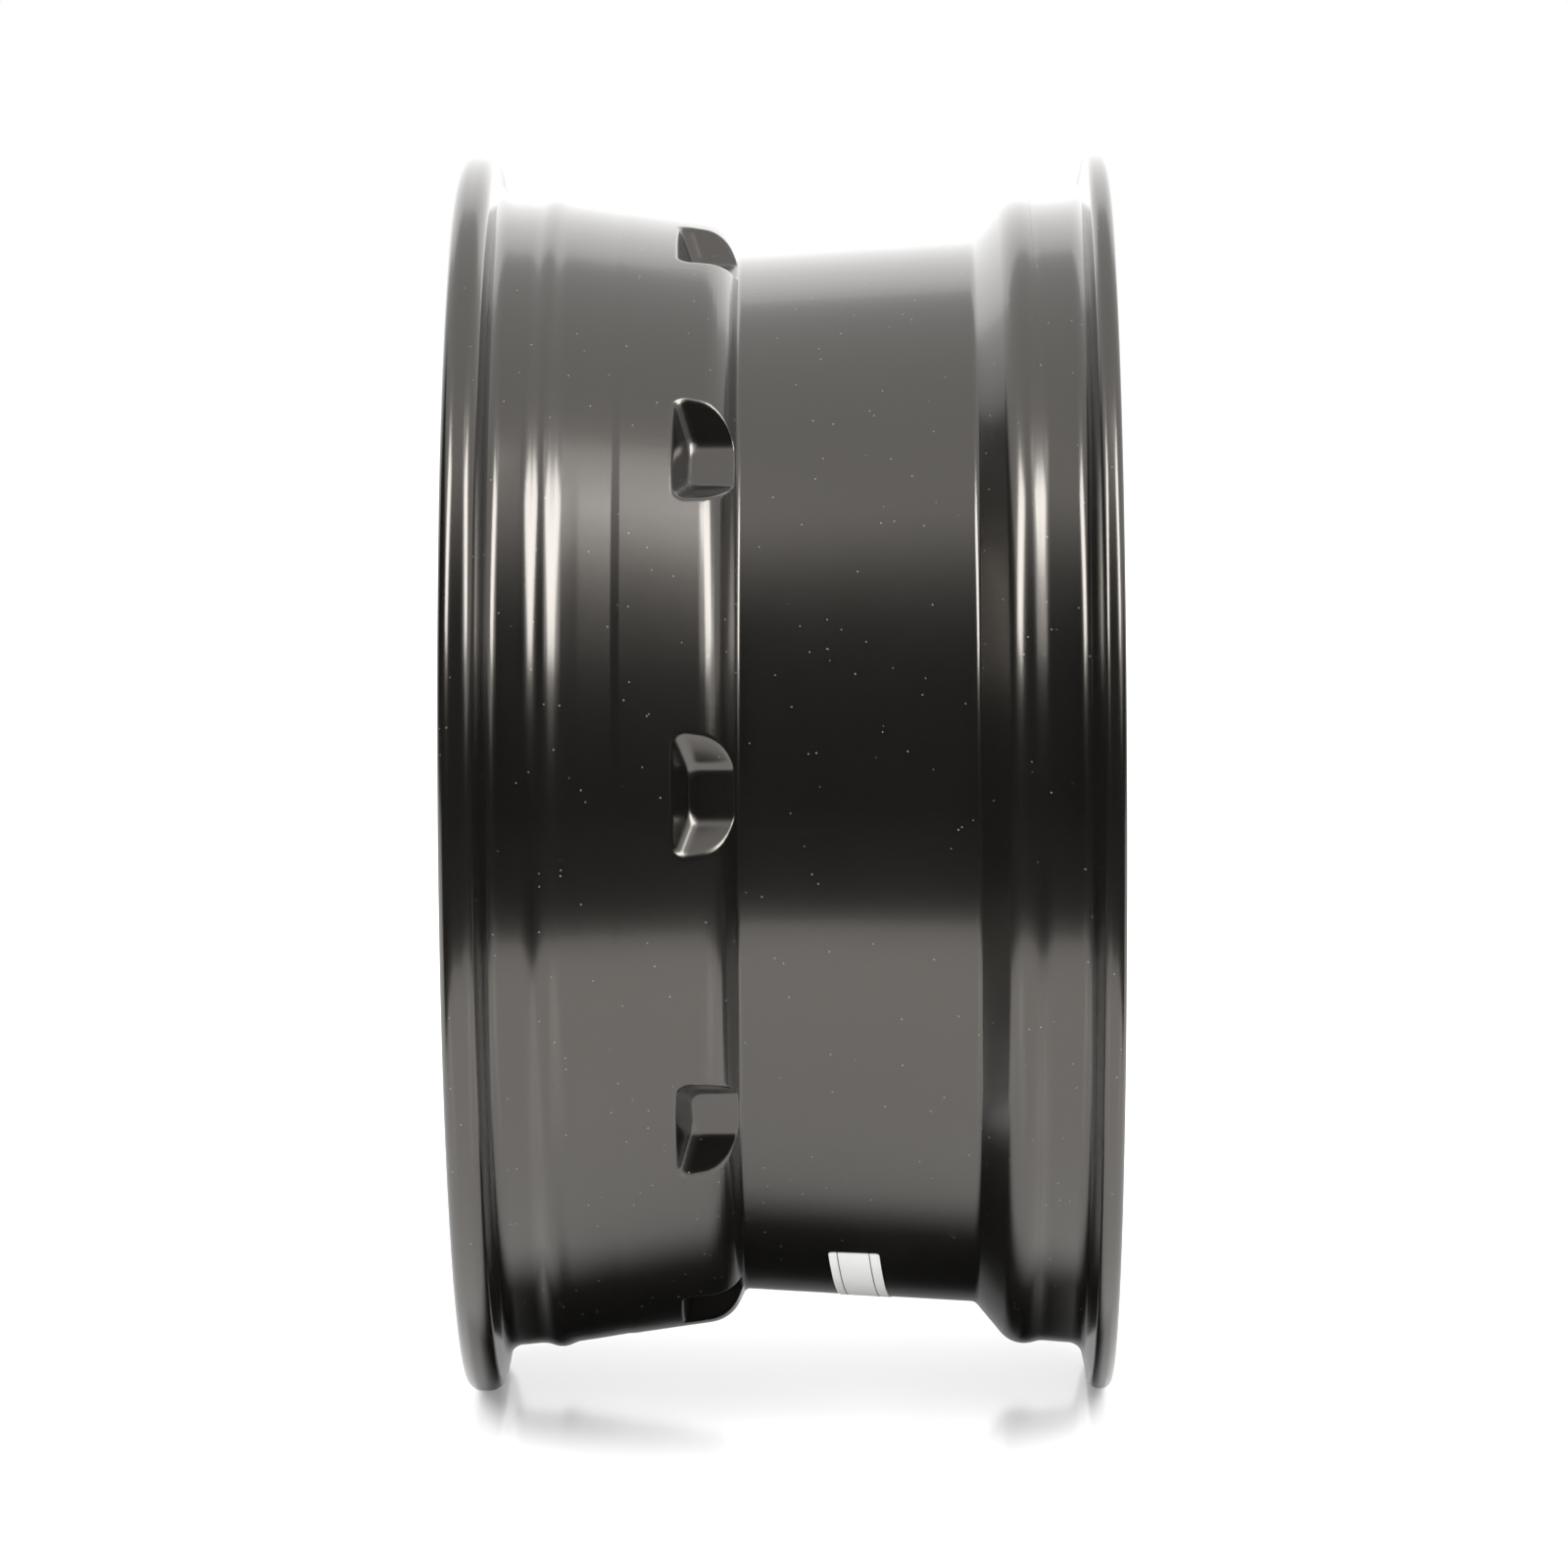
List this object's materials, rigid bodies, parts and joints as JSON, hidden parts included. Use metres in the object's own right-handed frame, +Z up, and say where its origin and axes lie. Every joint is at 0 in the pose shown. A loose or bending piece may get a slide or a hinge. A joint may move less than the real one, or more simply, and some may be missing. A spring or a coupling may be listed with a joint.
{
  "type": "car wheel",
  "caption": "One-piece cast aluminium car wheel, 18 x 9.0J, painted black, with ten straight spokes, ten lightening pockets in the well's shoulder and a blank paper label.",
  "frame": {"origin": "wheel's centre, on its axis midway between the outer edges of the two flanges", "axes": "+Y along the spin axis towards the car, the face looks along -Y, +Z up"},
  "size_m": [0.4978, 0.2576, 0.4978],
  "materials": {
    "black_paint": "gloss",
    "label_paper": "matte"
  },
  "bodies": {
    "root": {"wheel": "black_paint", "paper_label": "label_paper"}
  },
  "joints": []
}
